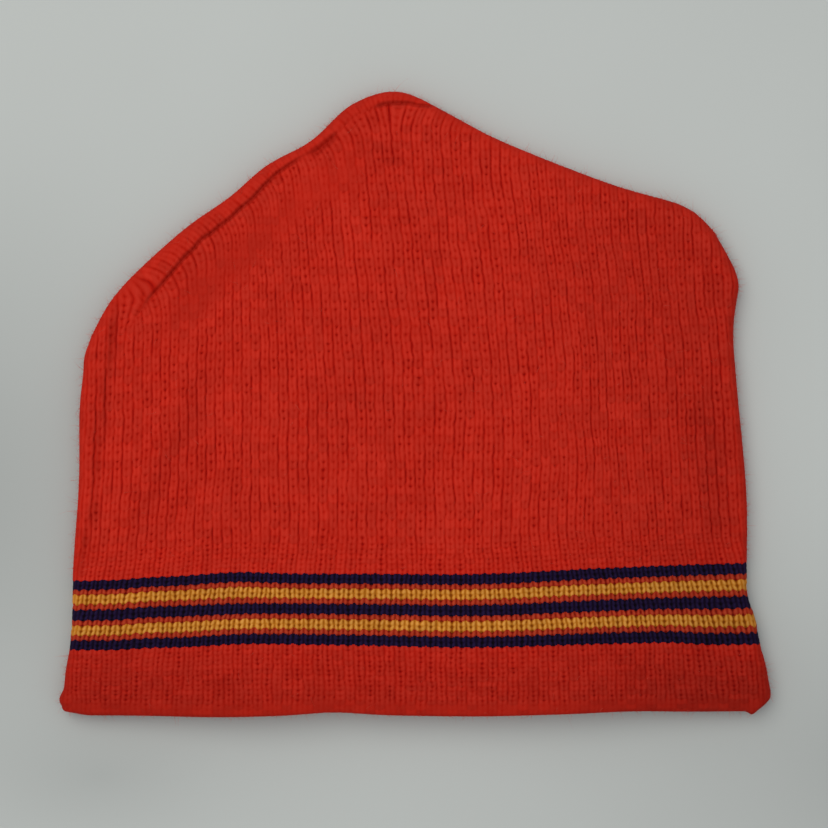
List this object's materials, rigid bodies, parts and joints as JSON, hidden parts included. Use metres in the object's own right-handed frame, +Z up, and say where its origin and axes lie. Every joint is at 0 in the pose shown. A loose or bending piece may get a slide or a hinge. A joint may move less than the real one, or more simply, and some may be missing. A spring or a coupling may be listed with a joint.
{
  "type": "knit beanie",
  "caption": "Self-lined knit beanie laid flat, with contrast stripes above a folded hem and a curved crown seam; the mouth opens about the crown.",
  "frame": {"origin": "middle of the underside, on the surface that the flat hat lies on", "axes": "+X across the hat to the wearer's left as it lies, +Y from the mouth to the crown, +Z up out of the surface it lies on"},
  "size_m": [0.244, 0.2148, 0.0133],
  "materials": {
    "red_knit": "soft brushed acrylic knit, matt",
    "navy_knit": "soft acrylic knit, matt",
    "yellow_knit": "soft acrylic knit, matt",
    "orange_knit": "soft acrylic knit, matt",
    "lining_knit": "soft acrylic knit, matt",
    "seam_thread": "twisted polyester sewing thread"
  },
  "bodies": {
    "back": {"back_hem_band": "red_knit", "back_navy_stripe_lower": "navy_knit", "back_orange_course_1": "orange_knit", "back_yellow_stripe_lower": "yellow_knit", "back_orange_course_2": "orange_knit", "back_navy_stripe_middle": "navy_knit", "back_orange_course_3": "orange_knit", "back_yellow_stripe_upper": "yellow_knit", "back_orange_course_4": "orange_knit", "back_navy_stripe_upper": "navy_knit", "back_crown_panel": "red_knit", "back_lining": "lining_knit", "crown_seam_allowance": "red_knit", "crown_seam_thread": "seam_thread", "lining_seam_allowance": "lining_knit", "lining_seam_thread": "seam_thread"},
    "front": {"front_hem_band": "red_knit", "front_navy_stripe_lower": "navy_knit", "front_orange_course_1": "orange_knit", "front_yellow_stripe_lower": "yellow_knit", "front_orange_course_2": "orange_knit", "front_navy_stripe_middle": "navy_knit", "front_orange_course_3": "orange_knit", "front_yellow_stripe_upper": "yellow_knit", "front_orange_course_4": "orange_knit", "front_navy_stripe_upper": "navy_knit", "front_crown_panel": "red_knit", "front_lining": "lining_knit"}
  },
  "joints": [
    {"name": "mouth_open", "type": "hinge", "parent": "back", "child": "front", "pos_m": [0, 0.1077, 0.0039], "axis": [-1, 0, 0], "range_deg": [0, 30]}
  ]
}
